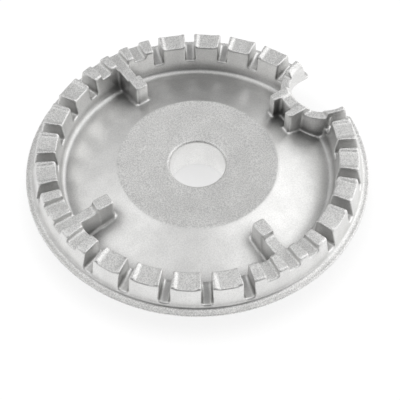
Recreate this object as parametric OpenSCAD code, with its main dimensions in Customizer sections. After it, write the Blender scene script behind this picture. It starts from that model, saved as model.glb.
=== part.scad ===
// Flame spreader crown of a gas hob's rapid burner, cast in one piece.
// The notch for the spark electrode lies on +X and the crown stands on its locating skirt.

/* [Outside] */
// Diameter of the thin flange that covers the rim of the burner cup
flange_d = 100; // [90:0.5:110]
// Thickness of the flange
flange_t = 1; // [0.8:0.1:2]
// Diameter of the crown over the tops of its teeth
crown_d = 92.8; // [84:0.2:96]
// Height of the tooth tops above the flange
wall_h = 7.4; // [6.6:0.1:10]
// Height of the tooth tops above the underside of the skirt
crown_h = 18.5; // [17:0.5:26]
// Slope of the outer wall from the vertical
wall_draft = 12; // [0:1:14]
// Radius of the fillet between the outer wall and the flange
wall_fillet = 1.2; // [0.5:0.1:1.6]
// Radius of the fillets inside the casting and under the flange
inner_fillet = 1; // [0.5:0.1:1.2]

/* [Gas chamber] */
// Diameter of the chamber at the tooth tops
chamber_d = 81.2; // [76:0.2:84]
// Depth of the chamber below the tooth tops, at the foot of its wall
chamber_depth = 10.4; // [9:0.1:12]
// Slope of the chamber wall from the vertical
chamber_draft = 4; // [0:0.5:6]
// Size of the chamfer along the foot of the chamber wall
foot_break = 1; // [0.3:0.1:2]
// Diameter of the raised centre of the chamber
plateau_d = 46.6; // [40:0.2:56]
// Depth of that raised centre below the tooth tops, at its edge
plateau_depth = 5.4; // [4.5:0.1:7]
// Further fall of the raised centre towards the gas inlet
plateau_dish = 0.8; // [0:0.1:1.2]
// Diameter of the gas inlet
inlet_d = 16.4; // [12:0.2:20]

/* [Burner ports] */
// Width of a main port across its floor
port_w = 2.7; // [1.6:0.1:3.2]
// Slope of the sides of a main port from the vertical
port_draft = 2; // [0:0.5:4]
// Depth of a main port below the tooth tops
port_depth = 6.05; // [4:0.05:6.5]
// Angle from one main port to the next
port_pitch = 14.05; // [13.2:0.05:14.4]
// Main ports between two posts
port_count = 5; // [3:1:5]
// Width of the hollow in the top of a tooth, across its floor
hollow_w = 3.9; // [2:0.1:4.4]
// Depth of that hollow
hollow_depth = 0.6; // [0.3:0.1:1]
// Width of a carry-over port across its floor
carry_w = 3.1; // [2:0.1:3.8]
// Depth of a carry-over port below the tooth tops
carry_depth = 1.9; // [1:0.1:3]
// Angle from one carry-over port to the next
carry_pitch = 8.4; // [7.8:0.1:8.8]
// Size of the break along the sides of the teeth
edge_break = 0.3; // [0.1:0.05:0.35]
// Size of the break along the two rims of the crown
rim_break = 0.45; // [0.4:0.05:0.6]

/* [Posts] */
// Distance from the centre to the near face of a post
post_r = 29.2; // [27:0.1:31]
// Length of a post along the radius
post_l = 5.2; // [4:0.1:6]
// Width of a post
post_w = 4; // [3:0.1:5]
// How far the top of a post stays below the tooth tops
post_drop = 0.4; // [0:0.1:1]
// Radius of the upright corners of a post
post_corner = 0.8; // [0.3:0.1:1.2]
// Width of the rib from a post to the wall
rib_w = 3.4; // [2:0.1:3.9]

/* [Electrode notch] */
// Radius of the notch round the spark electrode
notch_r = 9.4; // [8:0.1:10]
// Distance from the centre of the crown to the centre of the notch
notch_at = 45.2; // [44:0.1:46]
// Thickness of the wall round the notch
notch_wall = 2.9; // [2:0.1:3.4]
// Width of the doubled post behind the notch
twin_w = 10.2; // [9:0.1:11]
// Width of the gas channel between the halves of the doubled post
twin_gap = 5.2; // [3:0.1:6]
// Length of that channel
twin_gap_l = 2.6; // [1:0.1:3]
// Width of the groove that lets gas over to the electrode, across its floor
spark_w = 4.2; // [3.8:0.1:5]
// Depth of that groove below the tooth tops
spark_depth = 0.8; // [0.5:0.1:1.4]
// Radius of the rounding where the notch meets the rim
notch_mouth = 1.4; // [0.5:0.1:2]

/* [Underside] */
// Thickness of the chamber floor
shell_t = 2.2; // [1.6:0.1:3]
// How far the outside of the locating skirt lies outside the edge of the chamber
skirt_step = 1.2; // [1:0.1:2]
// Thickness of the skirt
skirt_t = 2.2; // [1.6:0.1:3]
// Wall of the collar round the gas inlet
collar_t = 2.2; // [1.6:0.1:3]
// How far the collar stays above the underside of the skirt
collar_up = 1; // [0.5:0.5:4]

/* [Hidden] */
$fn = 96;
eps = 0.01;
overlap = 0.5;
flange_z = crown_h - wall_h;
foot_r = crown_d / 2 + wall_h * tan(wall_draft);
floor_z = crown_h - chamber_depth;
floor_r = chamber_d / 2 - chamber_depth * tan(chamber_draft);
plateau_z = crown_h - plateau_depth;
inlet_z = plateau_z - plateau_dish;
floor_slope = atan((plateau_z - floor_z) / (floor_r - plateau_d / 2));
post_z = crown_h - post_drop;
carry_z = crown_h - carry_depth;
skirt_r = chamber_d / 2 + skirt_step;
collar_r = inlet_d / 2 + collar_t;
sector = 90;

// Fillet in the corner at p, between walls that leave it at the angles a1 and a2
module corner_fill(p, r, a1, a2) {
    half = (a2 - a1) / 2;
    reach = r / tan(half);
    centre = r / sin(half) * [cos(a1 + half), sin(a1 + half)];
    translate(p)
    difference() {
        polygon([[0, 0], reach * [cos(a1), sin(a1)], centre, reach * [cos(a2), sin(a2)]]);
        translate(centre)
        circle(r);
    }
}

// Section of the turned part of the casting
module crown_section() {
    polygon([
        [inlet_d / 2, inlet_z - rim_break],
        [inlet_d / 2 + rim_break, inlet_z],
        [plateau_d / 2, plateau_z],
        [floor_r - foot_break, floor_z + foot_break * tan(floor_slope)],
        [floor_r + foot_break * tan(chamber_draft), floor_z + foot_break],
        [chamber_d / 2, crown_h - rim_break],
        [chamber_d / 2 + rim_break, crown_h],
        [crown_d / 2 - rim_break, crown_h],
        [crown_d / 2, crown_h - rim_break],
        [foot_r, flange_z],
        [flange_d / 2, flange_z],
        [flange_d / 2, flange_z - flange_t],
        [skirt_r, flange_z - flange_t],
        [skirt_r, 0],
        [skirt_r - skirt_t, 0],
        [skirt_r - skirt_t, floor_z - shell_t],
        [plateau_d / 2, plateau_z - shell_t],
        [collar_r, inlet_z - shell_t],
        [collar_r, collar_up],
        [inlet_d / 2, collar_up]
    ]);
    corner_fill([foot_r, flange_z], wall_fillet, 0, 90 + wall_draft);
    corner_fill([skirt_r, flange_z - flange_t], inner_fillet / 2, 270, 360);
    corner_fill([collar_r, inlet_z - shell_t], inner_fillet, -90, 0);
}

// Everything above the middle of the chamber floor
module chamber_space() {
    rotate_extrude()
    polygon([
        [0, plateau_z - shell_t / 2],
        [plateau_d / 2, plateau_z - shell_t / 2],
        [floor_r, floor_z - shell_t / 2],
        [crown_d / 2, floor_z - shell_t / 2],
        [crown_d / 2, crown_h + 1],
        [0, crown_h + 1]
    ]);
}

// Upright bar along +X with rounded corners
module upright(l, w, top) {
    linear_extrude(top)
    union() {
        translate([post_corner, -w / 2])
        square([l - 2 * post_corner, w]);
        translate([0, -w / 2 + post_corner])
        square([l, w - 2 * post_corner]);
        for (x = [post_corner, l - post_corner], y = [-1, 1])
            translate([x, y * (w / 2 - post_corner)])
            circle(post_corner);
    }
}

// Post that locates the burner cap, with the low rib that ties it to the wall
module cap_post() {
    rib_l = chamber_d / 2 + 1 - post_r - post_l;
    translate([post_r, 0, 0])
    upright(post_l, post_w, post_z);
    translate([post_r + post_l, rib_w / 2, 0])
    rotate([90, 0, 0])
    linear_extrude(rib_w)
    union() {
        translate([-post_l / 2, 0])
        square([rib_l + post_l / 2, carry_z]);
        corner_fill([0, carry_z], inner_fillet, 0, 90);
    }
}

// Wall that carries the crown round the notch
module notch_guard() {
    intersection() {
        translate([notch_at, 0, 0])
        cylinder(h = carry_z, r = notch_r + notch_wall);
        cylinder(h = crown_h, r = skirt_r - overlap);
    }
}

// Post behind the notch, doubled to let the gas through to the electrode
module twin_post() {
    difference() {
        translate([post_r, 0, 0])
        upright(notch_at - post_r, twin_w, crown_h);
        translate([post_r - 1, -twin_gap / 2, 0])
        cube([twin_gap_l + 1, twin_gap, crown_h + 1]);
        port_cutter(spark_w, spark_depth, 45, post_r + 1, 0);
    }
}

// Open space round the spark electrode, cut through wall and flange
module notch_space() {
    reach = flange_d / 2 + 1 - notch_at;
    mouth_x = sqrt(pow(flange_d / 2, 2) - pow(notch_r + notch_mouth, 2)) - notch_at;
    translate([notch_at, 0, -1])
    linear_extrude(crown_h + 2)
    union() {
        circle(notch_r);
        translate([0, -notch_r])
        square([reach, 2 * notch_r]);
        for (side = [-1, 1])
            scale([1, side])
            difference() {
                translate([mouth_x - notch_mouth, notch_r - eps])
                square([reach - mouth_x + notch_mouth, notch_mouth + eps]);
                translate([mouth_x - notch_mouth, notch_r + notch_mouth])
                circle(notch_mouth);
            }
    }
}

// Straight cutter along +X with sloping sides and broken upper edges
module port_cutter(w, depth, lean, from_r, edge = edge_break) {
    top_w = w / 2 + depth * tan(lean);
    translate([from_r, 0, crown_h - depth])
    rotate([90, 0, 90])
    linear_extrude(flange_d / 2 - from_r)
    polygon([
        [-w / 2, 0],
        [w / 2, 0],
        [top_w, depth - edge],
        [top_w + edge + 1, depth + 1],
        [-top_w - edge - 1, depth + 1],
        [-top_w, depth - edge]
    ]);
}

module main_ports() {
    for (quarter = [0 : 3], i = [0 : port_count - 1])
        rotate(sector * (quarter + 0.5) + (i - (port_count - 1) / 2) * port_pitch)
        port_cutter(port_w, port_depth, port_draft, post_r + post_l);
}

module tooth_hollows() {
    for (quarter = [0 : 3], i = [0 : port_count - 2])
        rotate(sector * (quarter + 0.5) + (i - (port_count - 2) / 2) * port_pitch)
        port_cutter(hollow_w, hollow_depth, 45, post_r + post_l, 0);
}

module carry_over_ports() {
    for (quarter = [1 : 3], i = [-1 : 1])
        rotate(sector * quarter + i * carry_pitch)
        port_cutter(carry_w, carry_depth, 10, post_r + post_l + 1.5);
}

module burner_crown() {
    color([0.78, 0.78, 0.77])
    difference() {
        union() {
            difference() {
                rotate_extrude($fn = 180)
                crown_section();
                main_ports();
                tooth_hollows();
                carry_over_ports();
            }
            intersection() {
                chamber_space();
                union() {
                    twin_post();
                    for (quarter = [1 : 3])
                        rotate(sector * quarter)
                        cap_post();
                }
            }
            notch_guard();
        }
        notch_space();
    }
}

burner_crown();
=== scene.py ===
import bpy
import bmesh
import math
from mathutils import Matrix, Vector


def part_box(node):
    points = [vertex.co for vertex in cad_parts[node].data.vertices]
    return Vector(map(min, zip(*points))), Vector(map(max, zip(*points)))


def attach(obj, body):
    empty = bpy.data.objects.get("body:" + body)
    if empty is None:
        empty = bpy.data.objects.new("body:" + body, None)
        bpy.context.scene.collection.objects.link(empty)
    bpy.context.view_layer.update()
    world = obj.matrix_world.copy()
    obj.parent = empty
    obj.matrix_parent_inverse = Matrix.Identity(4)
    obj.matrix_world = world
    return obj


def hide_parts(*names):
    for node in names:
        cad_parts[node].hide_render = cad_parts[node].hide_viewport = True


# Crown of a gas burner, seen from above and in front on a white table.
# Lengths are in metres. A name that ends in Deg is an angle in degrees.

mm = 0.001
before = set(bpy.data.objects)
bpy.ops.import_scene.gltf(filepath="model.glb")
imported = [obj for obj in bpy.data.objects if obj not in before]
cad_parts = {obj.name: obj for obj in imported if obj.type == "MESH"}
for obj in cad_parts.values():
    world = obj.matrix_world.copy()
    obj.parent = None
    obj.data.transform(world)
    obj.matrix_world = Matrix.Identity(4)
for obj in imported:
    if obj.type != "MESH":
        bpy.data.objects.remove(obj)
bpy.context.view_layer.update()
scene = bpy.context.scene
crownLow, crownHigh = (Vector(corner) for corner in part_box("burner_crown"))
print("frame loaded, crown stands", round((crownHigh.z - crownLow.z) / mm, 2), "mm high")


# Helpers for meshes

def meshObject(name, mesh):
    piece = bpy.data.objects.new(name, mesh)
    scene.collection.objects.link(piece)
    return piece


def meshFromBmesh(name, work):
    bmesh.ops.remove_doubles(work, verts=work.verts, dist=1e-7)
    bmesh.ops.recalc_face_normals(work, faces=work.faces)
    mesh = bpy.data.meshes.new(name)
    work.to_mesh(mesh)
    work.free()
    return mesh


def finishStep(piece):
    # what the modifiers show becomes the piece's own plain mesh
    bpy.context.view_layer.update()
    graph = bpy.context.evaluated_depsgraph_get()
    shown = bpy.data.meshes.new_from_object(piece.evaluated_get(graph), depsgraph=graph)
    shown.name = piece.name
    piece.modifiers.clear()
    old = piece.data
    piece.data = shown
    bpy.data.meshes.remove(old)


def discard(piece):
    mesh = piece.data
    bpy.data.objects.remove(piece)
    bpy.data.meshes.remove(mesh)


def arcPoints(centre, radius, fromDeg, toDeg, steps=6):
    angles = [math.radians(fromDeg + (toDeg - fromDeg) * i / steps) for i in range(steps + 1)]
    return [(centre[0] + radius * math.cos(a), centre[1] + radius * math.sin(a)) for a in angles]


# Helpers for node trees

def nodeIn(tree, kind, **settings):
    node = tree.nodes.new(kind)
    for key, value in settings.items():
        setattr(node, key, value)
    return node


def calc(tree, operation, first, second=0.0):
    node = nodeIn(tree, "ShaderNodeMath", operation=operation)
    for slot, value in enumerate((first, second)):
        if isinstance(value, (int, float)):
            node.inputs[slot].default_value = value
        else:
            tree.links.new(value, node.inputs[slot])
    return node.outputs[0]


# The turned casting

crown = {
    "flangeRadius": 50.0 * mm,
    "flangeThickness": 1.0 * mm,
    "flangeTop": 11.1 * mm,
    "rimRadius": 46.4 * mm,
    "height": 18.5 * mm,
    "wallDraftDeg": 12,
    "wallFillet": 1.2 * mm,
    "rimBreak": 0.45 * mm,
    "chamberRadius": 40.6 * mm,
    "chamberFloor": 8.1 * mm,
    "chamberDraftDeg": 4,
    "footFillet": 1.8 * mm,
    "plateauRadius": 23.3 * mm,
    "plateauTop": 13.1 * mm,
    "plateauDish": 0.8 * mm,
    "inletRadius": 8.2 * mm,
    "shell": 2.2 * mm,
    "skirtStep": 1.2 * mm,
    "skirtThickness": 2.2 * mm,
    "collarThickness": 2.2 * mm,
    "collarUp": 1.0 * mm,
    "innerFillet": 1.0 * mm,
    "turnSteps": 720,
}


def filletArc(corner, radius, firstDeg, secondDeg, **steps):
    # round corner between two walls that leave it at these angles, from the first to the second
    half = math.radians((secondDeg - firstDeg) / 2)
    middle = math.radians((secondDeg + firstDeg) / 2)
    reach = radius / math.sin(half)
    centre = (corner[0] + reach * math.cos(middle), corner[1] + reach * math.sin(middle))
    return arcPoints(centre, radius, firstDeg - 90, secondDeg - 270, **steps)


def crownSection(c):
    wallFoot = c["rimRadius"] + (c["height"] - c["flangeTop"]) * math.tan(math.radians(c["wallDraftDeg"]))
    draft = math.tan(math.radians(c["chamberDraftDeg"]))
    floorRadius = c["chamberRadius"] - (c["height"] - c["chamberFloor"]) * draft
    coneRise = c["plateauTop"] - c["chamberFloor"]
    coneDeg = 180 - math.degrees(math.atan2(coneRise, floorRadius - c["plateauRadius"]))
    inletTop = c["plateauTop"] - c["plateauDish"]
    skirtRadius = c["chamberRadius"] + c["skirtStep"]
    skirtInside = skirtRadius - c["skirtThickness"]
    collarRadius = c["inletRadius"] + c["collarThickness"]
    flangeUnder = c["flangeTop"] - c["flangeThickness"]
    section = [
        (c["inletRadius"], inletTop - c["rimBreak"]),
        (c["inletRadius"] + c["rimBreak"], inletTop),
        (c["plateauRadius"], c["plateauTop"]),
    ]
    chamberFoot = (floorRadius, c["chamberFloor"])
    section += filletArc(chamberFoot, c["footFillet"], 90 - c["chamberDraftDeg"], coneDeg, steps=12)[::-1]
    section += [
        (c["chamberRadius"], c["height"] - c["rimBreak"]),
        (c["chamberRadius"] + c["rimBreak"], c["height"]),
        (c["rimRadius"] - c["rimBreak"], c["height"]),
        (c["rimRadius"], c["height"] - c["rimBreak"]),
    ]
    section += filletArc((wallFoot, c["flangeTop"]), c["wallFillet"], 0, 90 + c["wallDraftDeg"])[::-1]
    section += [
        (c["flangeRadius"], c["flangeTop"]),
        (c["flangeRadius"], flangeUnder),
    ]
    section += filletArc((skirtRadius, flangeUnder), c["innerFillet"] / 2, 270, 360)[::-1]
    section += [
        (skirtRadius, 0.0),
        (skirtInside, 0.0),
        (skirtInside, c["chamberFloor"] - c["shell"]),
        (c["plateauRadius"], c["plateauTop"] - c["shell"]),
    ]
    section += filletArc((collarRadius, inletTop - c["shell"]), c["innerFillet"], -90, 0)[::-1]
    section += [
        (collarRadius, c["collarUp"]),
        (c["inletRadius"], c["collarUp"]),
    ]
    return section


def turnedMesh(name, section, steps):
    work = bmesh.new()
    rings = []
    for i in range(steps):
        angle = 2 * math.pi * i / steps
        rings.append([work.verts.new((r * math.cos(angle), r * math.sin(angle), z)) for r, z in section])
    count = len(section)
    for i, ring in enumerate(rings):
        following = rings[(i + 1) % steps]
        for j in range(count):
            k = (j + 1) % count
            work.faces.new((ring[j], ring[k], following[k], following[j]))
    return meshFromBmesh(name, work)


# Finish: as cast, blasted on the plateau, the tops of the teeth and the flange, with painted shade in the
# corners

aluminium = {
    "colour": (0.84, 0.838, 0.828),
    "metallic": 0.9,
    "castRoughness": 0.36,
    "blastedRoughness": 0.50,
    "grainSize": 0.34 * mm,
    "grainHeight": 0.10 * mm,
    "grainShade": (1.12, 0.82),
    "grainSpread": 0.12,
    "castGrain": 0.35,
    "waveSize": 5.0 * mm,
    "waveHeight": 0.05 * mm,
    "waveSpread": (0.35, 0.65),
    "waveShade": 0.93,
    "edgeWander": 0.5 * mm,
    "plateauBand": 1.5 * mm,
    "topsBand": 2.3 * mm,
    "facingUp": 0.7,
    "flangeBand": 1.8 * mm,
    "flangeAbove": 0.3 * mm,
    # painted corner shade from ambient occlusion: its reach, its samples, and how dark the deepest corners
    # get in the chamber and in the ports
    "cornerReach": 5.4 * mm,
    "cornerSamples": 12,
    "openSky": (0.20, 0.90),
    "chamberPaintedShade": 0.20,
    "portPaintedShade": 0.78,
    "chamberFade": (-0.2 * mm, 1.0 * mm),
    "inletFade": (0.2 * mm, 1.2 * mm),
}


def shaderTools(owner):
    owner.use_nodes = True
    tree = owner.node_tree
    tree.nodes.clear()

    def add(kind, **settings):
        return nodeIn(tree, kind, **settings)

    def calculate(operation, first, second):
        return calc(tree, operation, first, second)

    def ramp(value, fromMin, fromMax, toMin, toMax, kind="SMOOTHSTEP"):
        node = add("ShaderNodeMapRange", interpolation_type=kind)
        tree.links.new(value, node.inputs["Value"])
        limits = {"From Min": fromMin, "From Max": fromMax, "To Min": toMin, "To Max": toMax}
        for label, number in limits.items():
            node.inputs[label].default_value = number
        return node.outputs[0]

    return add, tree.links.new, calculate, ramp


def radiusFromAxis(add, link, place):
    flat = add("ShaderNodeVectorMath", operation="MULTIPLY")
    link(place, flat.inputs[0])
    flat.inputs[1].default_value = (1, 1, 0)
    length = add("ShaderNodeVectorMath", operation="LENGTH")
    link(flat.outputs[0], length.inputs[0])
    return length.outputs["Value"]


def castAluminium(values):
    material = bpy.data.materials.new("castAluminium")
    add, link, calculate, ramp = shaderTools(material)
    coordinates = add("ShaderNodeTexCoord").outputs
    place = coordinates["Object"]
    parts = add("ShaderNodeSeparateXYZ")
    link(place, parts.inputs[0])
    height = parts.outputs["Z"]
    radius = radiusFromAxis(add, link, place)

    def noise(size, detail):
        node = add("ShaderNodeTexNoise")
        link(place, node.inputs["Vector"])
        node.inputs["Scale"].default_value = 1 / size
        node.inputs["Detail"].default_value = detail
        return node.outputs["Fac"]

    grain = noise(values["grainSize"], detail=2)
    wave = noise(values["waveSize"], detail=4)

    # blasted zones, with a border that wanders a little
    wander = calculate("SUBTRACT", noise(values["edgeWander"] * 3, detail=3), 0.5)
    edge = calculate("ADD", radius, calculate("MULTIPLY", wander, values["edgeWander"] * 2))
    plateau = calculate("MULTIPLY", calculate("LESS_THAN", edge, crown["plateauRadius"]),
                        calculate("GREATER_THAN", height, crown["plateauTop"] - values["plateauBand"]))
    facing = add("ShaderNodeSeparateXYZ")
    link(coordinates["Normal"], facing.inputs[0])
    tops = calculate("MULTIPLY", calculate("GREATER_THAN", height, crown["height"] - values["topsBand"]),
                     calculate("GREATER_THAN", facing.outputs["Z"], values["facingUp"]))
    flange = calculate("MULTIPLY",
                       calculate("GREATER_THAN", edge, crown["flangeRadius"] - values["flangeBand"]),
                       calculate("LESS_THAN", height, crown["flangeTop"] + values["flangeAbove"]))
    blasted = calculate("MAXIMUM", calculate("MAXIMUM", plateau, tops), flange)
    grainShare = ramp(blasted, 0, 1, values["castGrain"], 1.0, "LINEAR")

    # painted shade: the colour is darkened by ambient occlusion where corners lie in shadow, less of it in
    # the ports, none in the inlet
    corners = add("ShaderNodeAmbientOcclusion", samples=values["cornerSamples"])
    corners.inputs["Distance"].default_value = values["cornerReach"]
    hidden = ramp(corners.outputs["AO"], *values["openSky"], 1.0, 0.0, "LINEAR")
    chamberEdge = (crown["chamberRadius"] + past for past in values["chamberFade"])
    inletEdge = (crown["inletRadius"] + past for past in values["inletFade"])
    outside = ramp(radius, *chamberEdge, values["chamberPaintedShade"], values["portPaintedShade"])
    inside = ramp(radius, *inletEdge, 1.0, 0.0)
    deepestPaintedShade = calculate("MAXIMUM", outside, inside)
    paintedCornerShade = calculate("SUBTRACT", 1.0, calculate("MULTIPLY", hidden, calculate("SUBTRACT", 1.0, deepestPaintedShade)))

    spread = values["grainSpread"]
    speckle = calculate("MULTIPLY", calculate("SUBTRACT", 0.5, grain), grainShare)
    speckle = ramp(speckle, -spread, spread, *values["grainShade"], "LINEAR")
    stains = ramp(wave, *values["waveSpread"], values["waveShade"], 1.0)
    # grain and stains are the metal's own tone; the last factor is the painted corner shade
    shade = calculate("MULTIPLY", calculate("MULTIPLY", speckle, stains), paintedCornerShade)
    tint = add("ShaderNodeVectorMath", operation="SCALE")
    tint.inputs[0].default_value = values["colour"]
    link(shade, tint.inputs["Scale"])

    waveBump = add("ShaderNodeBump")
    waveBump.inputs["Distance"].default_value = values["waveHeight"]
    link(wave, waveBump.inputs["Height"])
    grainBump = add("ShaderNodeBump")
    grainBump.inputs["Distance"].default_value = values["grainHeight"]
    link(grain, grainBump.inputs["Height"])
    link(grainShare, grainBump.inputs["Strength"])
    link(waveBump.outputs[0], grainBump.inputs["Normal"])

    surface = add("ShaderNodeBsdfPrincipled")
    surface.inputs["Metallic"].default_value = values["metallic"]
    link(tint.outputs[0], surface.inputs["Base Color"])
    link(ramp(blasted, 0, 1, values["castRoughness"], values["blastedRoughness"], "LINEAR"),
         surface.inputs["Roughness"])
    link(grainBump.outputs[0], surface.inputs["Normal"])
    output = add("ShaderNodeOutputMaterial")
    link(surface.outputs[0], output.inputs["Surface"])
    return material


castFinish = castAluminium(aluminium)


# Cutters that run out along the radius, placed by Geometry Nodes

ports = {
    "main": {"Per Side": 5, "Sides": 4, "First Side": math.radians(45), "Pitch": math.radians(14.05),
             "Floor Width": 2.7 * mm, "Depth": 6.05 * mm, "Lean": math.radians(2), "From Radius": 34.4 * mm},
    "toothHollows": {"Per Side": 4, "Sides": 4, "First Side": math.radians(45), "Pitch": math.radians(14.05),
                     "Floor Width": 3.9 * mm, "Depth": 0.6 * mm, "Lean": math.radians(45),
                     "From Radius": 34.4 * mm},
    "carryOver": {"Per Side": 3, "Sides": 3, "First Side": math.radians(90), "Pitch": math.radians(8.4),
                  "Floor Width": 3.1 * mm, "Depth": 1.9 * mm, "Lean": math.radians(10),
                  "From Radius": 35.9 * mm},
}
cutters = {"To Radius": 50.5 * mm, "Top": crown["height"], "Above": 1.0 * mm}


def newTree(name, sockets):
    tree = bpy.data.node_groups.new(name, "GeometryNodeTree")
    for label, kind in sockets:
        tree.interface.new_socket(label, in_out="INPUT", socket_type=kind)
    tree.interface.new_socket("Geometry", in_out="OUTPUT", socket_type="NodeSocketGeometry")
    return tree


def endTree(tree, geometry, material):
    link = tree.links.new
    real = nodeIn(tree, "GeometryNodeRealizeInstances")
    link(geometry, real.inputs[0])
    dressed = nodeIn(tree, "GeometryNodeSetMaterial")
    link(real.outputs[0], dressed.inputs["Geometry"])
    link(material, dressed.inputs["Material"])
    result = nodeIn(tree, "NodeGroupOutput")
    link(dressed.outputs[0], result.inputs[0])


def nodesModifier(piece, tree, values):
    # inputs are set by their identifiers, before the piece is first evaluated
    modifier = piece.modifiers.new(tree.name, "NODES")
    modifier.node_group = tree
    for socket in tree.interface.items_tree:
        if socket.in_out == "INPUT" and socket.name in values:
            modifier[socket.identifier] = values[socket.name]
    return modifier


def radialCutTree():
    # takes a row of slots out of a ring of geometry, side by side on each of its sides
    tree = newTree("radialSlots", [
        ("Geometry", "NodeSocketGeometry"), ("Material", "NodeSocketMaterial"),
        ("Per Side", "NodeSocketInt"), ("Sides", "NodeSocketInt"),
        ("First Side", "NodeSocketFloat"), ("Pitch", "NodeSocketFloat"),
        ("Floor Width", "NodeSocketFloat"), ("Depth", "NodeSocketFloat"),
        ("Lean", "NodeSocketFloat"), ("From Radius", "NodeSocketFloat"),
        ("To Radius", "NodeSocketFloat"), ("Top", "NodeSocketFloat"), ("Above", "NodeSocketFloat"),
    ])
    link = tree.links.new
    given = nodeIn(tree, "NodeGroupInput").outputs

    # one slot's cutter, a trapezium swept along the radius
    full = calc(tree, "ADD", given["Depth"], given["Above"])
    spread = calc(tree, "MULTIPLY", full, calc(tree, "TANGENT", given["Lean"]))
    topWidth = calc(tree, "ADD", given["Floor Width"], calc(tree, "MULTIPLY", spread, 2.0))
    floor = calc(tree, "SUBTRACT", given["Top"], given["Depth"])
    middle = calc(tree, "ADD", floor, calc(tree, "MULTIPLY", full, 0.5))
    profile = nodeIn(tree, "GeometryNodeCurvePrimitiveQuadrilateral", mode="TRAPEZOID")
    link(given["Floor Width"], profile.inputs["Bottom Width"])
    link(topWidth, profile.inputs["Top Width"])
    link(full, profile.inputs["Height"])
    profile.inputs["Offset"].default_value = 0.0
    run = nodeIn(tree, "GeometryNodeCurvePrimitiveLine")
    for label, radius in (("Start", given["From Radius"]), ("End", given["To Radius"])):
        end = nodeIn(tree, "ShaderNodeCombineXYZ")
        link(radius, end.inputs["X"])
        link(middle, end.inputs["Z"])
        link(end.outputs[0], run.inputs[label])
    upright = nodeIn(tree, "GeometryNodeSetCurveNormal", mode="Z_UP")
    link(run.outputs[0], upright.inputs[0])
    swept = nodeIn(tree, "GeometryNodeCurveToMesh")
    link(upright.outputs[0], swept.inputs["Curve"])
    link(profile.outputs[0], swept.inputs["Profile Curve"])
    swept.inputs["Fill Caps"].default_value = True

    # one point for each slot, turned to its side and its place in the row
    points = nodeIn(tree, "GeometryNodeMeshLine")
    link(calc(tree, "MULTIPLY", given["Per Side"], given["Sides"]), points.inputs["Count"])
    points.inputs["Offset"].default_value = (0, 0, 0)
    index = nodeIn(tree, "GeometryNodeInputIndex").outputs[0]
    side = calc(tree, "FLOOR", calc(tree, "DIVIDE", calc(tree, "ADD", index, 0.5), given["Per Side"]))
    place = calc(tree, "SUBTRACT", index, calc(tree, "MULTIPLY", side, given["Per Side"]))
    half = calc(tree, "MULTIPLY", calc(tree, "SUBTRACT", given["Per Side"], 1.0), 0.5)
    inRow = calc(tree, "MULTIPLY", calc(tree, "SUBTRACT", place, half), given["Pitch"])
    sideTurn = calc(tree, "ADD", given["First Side"], calc(tree, "MULTIPLY", side, math.pi / 2))
    turn = nodeIn(tree, "ShaderNodeCombineXYZ")
    link(calc(tree, "ADD", inRow, sideTurn), turn.inputs["Z"])
    copies = nodeIn(tree, "GeometryNodeInstanceOnPoints")
    link(points.outputs[0], copies.inputs["Points"])
    link(swept.outputs[0], copies.inputs["Instance"])
    link(turn.outputs[0], copies.inputs["Rotation"])
    slots = nodeIn(tree, "GeometryNodeRealizeInstances")
    link(copies.outputs[0], slots.inputs[0])

    cut = nodeIn(tree, "GeometryNodeMeshBoolean", operation="DIFFERENCE", solver="MANIFOLD")
    link(given["Geometry"], cut.inputs["Mesh 1"])
    link(slots.outputs[0], cut.inputs["Mesh 2"])
    endTree(tree, cut.outputs["Mesh"], given["Material"])
    return tree


# Posts for the cap, and the wall round the notch

posts = {
    "fromRadius": 29.2 * mm,
    "length": 5.2 * mm,
    "width": 4.0 * mm,
    "top": 18.1 * mm,
    "corner": 0.8 * mm,
    "foot": 9.3 * mm,
    "ribWidth": 3.4 * mm,
    "ribTop": 16.6 * mm,
    "ribFoot": 7.7 * mm,
    "ribTo": 41.6 * mm,
    "atDeg": (90, 180, 270),
}
notch = {
    "centre": 45.2 * mm,
    "radius": 9.4 * mm,
    "wall": 2.9 * mm,
    "top": 16.6 * mm,
    "guardTo": 41.3 * mm,
    "mouth": 1.4 * mm,
    "chamferFrom": 17.1 * mm,
    "chamferOut": 1.3 * mm,
    "twinWidth": 10.2 * mm,
    "twinFoot": 9.2 * mm,
    "channelWidth": 5.2 * mm,
    "channelLength": 2.6 * mm,
    "grooveWidth": 5.0 * mm,
    "grooveDepth": 0.35 * mm,
    "past": 2.0 * mm,
}


def prism(name, outline, low, high):
    work = bmesh.new()
    under = [work.verts.new((x, y, low)) for x, y in outline]
    above = [work.verts.new((x, y, high)) for x, y in outline]
    work.faces.new(under[::-1])
    work.faces.new(above)
    for i in range(len(outline)):
        k = (i + 1) % len(outline)
        work.faces.new((under[i], under[k], above[k], above[i]))
    return meshObject(name, meshFromBmesh(name, work))


def slab(name, fromX, toX, width, low, high):
    half = width / 2
    return prism(name, [(fromX, -half), (toX, -half), (toX, half), (fromX, half)], low, high)


def disc(name, centreX, radius, low, high, topRadius=None, steps=360):
    # straight, or a cone where its top has a radius of its own
    piece = prism(name, arcPoints((0, 0), radius, 0, 360, steps)[:-1], low, high)
    for vertex in piece.data.vertices:
        if topRadius and vertex.co.z > (low + high) / 2:
            vertex.co.xy *= topRadius / radius
        vertex.co.x += centreX
    return piece


def roundedBar(fromX, toX, width, corner):
    outline = []
    for x, side, turn in ((toX, 1, 0), (fromX, 1, 90), (fromX, -1, 180), (toX, -1, 270)):
        inward = -corner if x > fromX else corner
        outline += arcPoints((x + inward, side * (width / 2 - corner)), corner, turn, turn + 90)
    return outline


def combine(piece, tool, operation):
    # the tool is used up
    step = piece.modifiers.new(operation, "BOOLEAN")
    step.operation = operation
    step.solver = "MANIFOLD"
    step.object = tool
    finishStep(piece)
    discard(tool)


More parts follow.
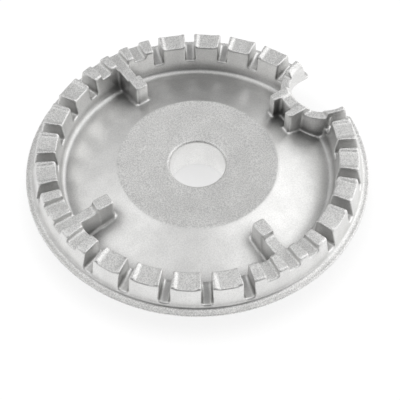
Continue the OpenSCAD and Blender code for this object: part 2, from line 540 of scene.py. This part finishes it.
def capPost(p):
    outer = p["fromRadius"] + p["length"]
    bar = prism("capPost", roundedBar(p["fromRadius"], outer, p["width"], p["corner"]), p["foot"], p["top"])
    middle = p["fromRadius"] + p["length"] / 2
    radius = crown["innerFillet"]
    side = [(middle, p["foot"]), (p["ribTo"], p["ribFoot"]), (p["ribTo"], p["ribTop"])]
    side += arcPoints((outer + radius, p["ribTop"] + radius), radius, 270, 180)
    side += [(middle, p["ribTop"] + radius)]
    rib = prism("rib", side, -p["ribWidth"] / 2, p["ribWidth"] / 2)
    rib.data.transform(Matrix.Rotation(math.radians(90), 4, "X"))
    combine(bar, rib, "UNION")
    return bar


def twinPost(p, n):
    # two prongs with a gas channel between them, behind the notch
    top = crown["height"]
    start = p["fromRadius"] - n["past"]
    outline = roundedBar(p["fromRadius"], n["centre"], n["twinWidth"], p["corner"])
    bar = prism("twinPost", outline, n["twinFoot"], top)
    above = top + n["past"]
    channel = slab("channel", start, p["fromRadius"] + n["channelLength"], n["channelWidth"], 0, above)
    combine(bar, channel, "DIFFERENCE")
    groove = slab("groove", start, n["centre"], n["grooveWidth"], top - n["grooveDepth"], above)
    combine(bar, groove, "DIFFERENCE")
    return bar


def notchWall(n):
    guard = disc("guard", n["centre"], n["radius"] + n["wall"], 0, n["top"])
    combine(guard, disc("guardReach", 0, n["guardTo"], 0, crown["height"]), "INTERSECT")
    return guard


def notchSpace(n):
    outer = crown["flangeRadius"]
    half = n["radius"] + n["mouth"]
    mouthX = math.sqrt(outer ** 2 - half ** 2)
    outline = arcPoints((n["centre"], 0), n["radius"], 90, 270, steps=48)
    lower = arcPoints((mouthX - n["mouth"], -half), n["mouth"], 90, 0, steps=8)
    outline += lower
    outline += [(outer + n["past"], -half), (outer + n["past"], half)]
    outline += [(x, -y) for x, y in lower[::-1]]
    return prism("notchSpace", outline, -n["past"], crown["height"] + n["past"])


def notchChamfer(n):
    # a cone that breaks the edge of the notch, wider by chamferOut where it leaves the teeth
    low = n["chamferFrom"]
    high = 2 * crown["height"] - low
    return disc("notchChamfer", n["centre"], n["radius"], low, high, n["radius"] + 2 * n["chamferOut"])


crownPiece = meshObject("burnerCrown", turnedMesh("burnerCrown", crownSection(crown), crown["turnSteps"]))
slotTree = radialCutTree()
for row in ports.values():
    nodesModifier(crownPiece, slotTree, {**row, **cutters, "Material": castFinish})
finishStep(crownPiece)
print("ports cut:", len(crownPiece.data.polygons), "faces")

for degrees in posts["atDeg"]:
    post = capPost(posts)
    post.data.transform(Matrix.Rotation(math.radians(degrees), 4, "Z"))
    combine(crownPiece, post, "UNION")
combine(crownPiece, twinPost(posts, notch), "UNION")
combine(crownPiece, notchWall(notch), "UNION")
combine(crownPiece, notchSpace(notch), "DIFFERENCE")
combine(crownPiece, notchChamfer(notch), "DIFFERENCE")
print("posts and notch done:", len(crownPiece.data.polygons), "faces")


# Radii of a die casting, from a distance field. Swelling it and shrinking it back fills the inner
# corners, and shrinking it and swelling it again rounds the outer edges. Softening takes the marks
# of the grid off the edges.

casting = {
    "Voxel Size": 0.2 * mm,
    "Band Width": 6,
    "Inner Radius": 0.5 * mm,
    "Outer Radius": 0.2 * mm,
}
softenSteps = 5
castingTriangles = 190000


def castRadiiTree():
    tree = newTree("castRadii", [
        ("Geometry", "NodeSocketGeometry"), ("Material", "NodeSocketMaterial"),
        ("Voxel Size", "NodeSocketFloat"), ("Band Width", "NodeSocketInt"),
        ("Inner Radius", "NodeSocketFloat"), ("Outer Radius", "NodeSocketFloat"),
    ])
    link = tree.links.new
    given = nodeIn(tree, "NodeGroupInput").outputs
    inward = calc(tree, "MULTIPLY", calc(tree, "ADD", given["Inner Radius"], given["Outer Radius"]), -1.0)
    body = given["Geometry"]
    for offset in (given["Inner Radius"], inward, given["Outer Radius"]):
        field = nodeIn(tree, "GeometryNodeMeshToSDFGrid")
        link(body, field.inputs["Mesh"])
        link(given["Voxel Size"], field.inputs["Voxel Size"])
        link(given["Band Width"], field.inputs["Band Width"])
        surface = nodeIn(tree, "GeometryNodeGridToMesh")
        link(field.outputs[0], surface.inputs["Grid"])
        link(offset, surface.inputs["Threshold"])
        body = surface.outputs["Mesh"]
    smooth = nodeIn(tree, "GeometryNodeSetShadeSmooth")
    link(body, smooth.inputs["Geometry"])
    endTree(tree, smooth.outputs[0], given["Material"])
    return tree


nodesModifier(crownPiece, castRadiiTree(), {**casting, "Material": castFinish})
finishStep(crownPiece)
print("edges rounded:", len(crownPiece.data.polygons), "faces")
soften = crownPiece.modifiers.new("soften", "SMOOTH")
soften.iterations = softenSteps
thin = crownPiece.modifiers.new("thin", "DECIMATE")
thin.ratio = castingTriangles / sum(len(face.vertices) - 2 for face in crownPiece.data.polygons)
finishStep(crownPiece)
for vertex in crownPiece.data.vertices:
    # the grid is too coarse for the thin foot of the skirt, which stands on the table
    vertex.co.z = min(max(vertex.co.z, 0.0), crown["height"])
crownPiece.modifiers.new("even", "WEIGHTED_NORMAL")
finishStep(crownPiece)
print("mesh thinned:", len(crownPiece.data.polygons), "faces")

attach(crownPiece, "root")
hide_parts("burner_crown")


# Camera, at the place and with the lens of the photo

photo = {
    "pixels": 400,
    "focalPixels": 1070.1,
    "distance": 307.05 * mm,
    "aboveDeg": 51.90,
    "lookDownDeg": 54.57,
    "lookAsideDeg": 0.22,
    "turnDeg": -34,
}


def photoCamera(values):
    data = bpy.data.cameras.new("photoCamera")
    data.sensor_fit = "HORIZONTAL"
    data.sensor_width = 36
    data.lens = values["focalPixels"] / values["pixels"] * data.sensor_width
    data.clip_start = 10 * mm
    above, down, aside = (math.radians(values[k]) for k in ("aboveDeg", "lookDownDeg", "lookAsideDeg"))
    place = Vector((0, -values["distance"] * math.cos(above), values["distance"] * math.sin(above)))
    forward = Vector((math.sin(aside) * math.cos(down), math.cos(aside) * math.cos(down), -math.sin(down)))
    right = forward.cross(Vector((0, 0, 1))).normalized()
    axes = Matrix((right, right.cross(forward), -forward)).transposed().to_4x4()
    centre = Matrix.Translation((0, 0, crown["height"]))
    turn = Matrix.Rotation(math.radians(values["turnDeg"]), 4, "Z")
    camera = bpy.data.objects.new("photoCamera", data)
    camera.matrix_world = centre @ turn @ Matrix.Translation(place) @ axes
    scene.collection.objects.link(camera)
    return camera


scene.camera = photoCamera(photo)


# White table, and a dark room lit by soft patches: one on the right, one on the left and two low ones.
# Where two patches overlap, the brighter one counts.

studio = {
    "tableRadius": 6.0,
    "tableThickness": 20 * mm,
    "tableShade": 0.84,
    "tableWhite": 1.05,
    "shadowShare": 0.05,
    "underShare": 0.24,
    "underTo": 57 * mm,
    "inletShare": 0.42,
    "fill": 0.06,
    "patches": {
        "right": {"aroundDeg": 0, "aboveDeg": 50, "coreDeg": 5, "edgeDeg": 50, "level": 1.50},
        "left": {"aroundDeg": 180, "aboveDeg": 50, "coreDeg": 5, "edgeDeg": 50, "level": 1.20},
        "lowRight": {"aroundDeg": 25, "aboveDeg": 15, "coreDeg": 15, "edgeDeg": 60, "level": 1.52},
        "lowLeftBack": {"aroundDeg": 135, "aboveDeg": 30, "coreDeg": 5, "edgeDeg": 50, "level": 0.62},
    },
}


def photoDirection(aroundDeg, aboveDeg):
    # 0 degrees is the photo's right, 90 its back
    around = math.radians(aroundDeg + photo["turnDeg"])
    above = math.radians(aboveDeg)
    return Vector((math.cos(around) * math.cos(above), math.sin(around) * math.cos(above), math.sin(above)))


def tableMaterial(values):
    # white as a backdrop where it is seen or mirrored, with a share of its true shade where it is seen
    material = bpy.data.materials.new("whiteTable")
    add, link, calculate, ramp = shaderTools(material)
    shade = add("ShaderNodeBsdfDiffuse")
    shade.inputs["Color"].default_value = (values["tableShade"],) * 3 + (1,)
    white = add("ShaderNodeEmission")
    white.inputs["Strength"].default_value = values["tableWhite"]
    radius = radiusFromAxis(add, link, add("ShaderNodeTexCoord").outputs["Object"])
    outer = ramp(radius, crown["rimRadius"], values["underTo"], values["underShare"], values["shadowShare"])
    inner = ramp(radius, crown["inletRadius"], 2 * crown["inletRadius"], values["inletShare"], 0.0)
    path = add("ShaderNodeLightPath").outputs
    share = calculate("MULTIPLY", calculate("MAXIMUM", outer, inner), path["Is Camera Ray"])
    shown = add("ShaderNodeMixShader")
    link(share, shown.inputs[0])
    link(white.outputs[0], shown.inputs[1])
    link(shade.outputs[0], shown.inputs[2])
    mirrored = calculate("MAXIMUM", path["Is Glossy Ray"], path["Is Transmission Ray"])
    seen = calculate("MAXIMUM", path["Is Camera Ray"], mirrored)
    chosen = add("ShaderNodeMixShader")
    link(seen, chosen.inputs[0])
    link(shade.outputs[0], chosen.inputs[1])
    link(shown.outputs[0], chosen.inputs[2])
    output = add("ShaderNodeOutputMaterial")
    link(chosen.outputs[0], output.inputs["Surface"])
    return material


def tableTop(values):
    table = disc("tableTop", 0, values["tableRadius"], -values["tableThickness"], 0, steps=96)
    table.data.materials.append(tableMaterial(values))
    return table


def studioRoom(values):
    world = bpy.data.worlds.new("studioRoom")
    scene.world = world
    add, link, calculate, ramp = shaderTools(world)
    direction = add("ShaderNodeTexCoord").outputs["Generated"]
    level = 0.0
    for patch in values["patches"].values():
        near = add("ShaderNodeVectorMath", operation="DOT_PRODUCT")
        link(direction, near.inputs[0])
        near.inputs[1].default_value = photoDirection(patch["aroundDeg"], patch["aboveDeg"])
        edge, core = (math.cos(math.radians(patch[k])) for k in ("edgeDeg", "coreDeg"))
        level = calculate("MAXIMUM", ramp(near.outputs["Value"], edge, core, 0, patch["level"]), level)
    light = add("ShaderNodeBackground")
    link(calculate("ADD", level, values["fill"]), light.inputs["Strength"])
    white = add("ShaderNodeBackground")
    for background in (light, white):
        background.inputs["Color"].default_value = (1, 1, 1, 1)
    chosen = add("ShaderNodeMixShader")
    link(add("ShaderNodeLightPath").outputs["Is Camera Ray"], chosen.inputs[0])
    link(light.outputs[0], chosen.inputs[1])
    link(white.outputs[0], chosen.inputs[2])
    output = add("ShaderNodeOutputWorld")
    link(chosen.outputs[0], output.inputs["Surface"])


tableTop(studio)
studioRoom(studio)
scene.view_settings.view_transform = "Standard"
print("table and room set")
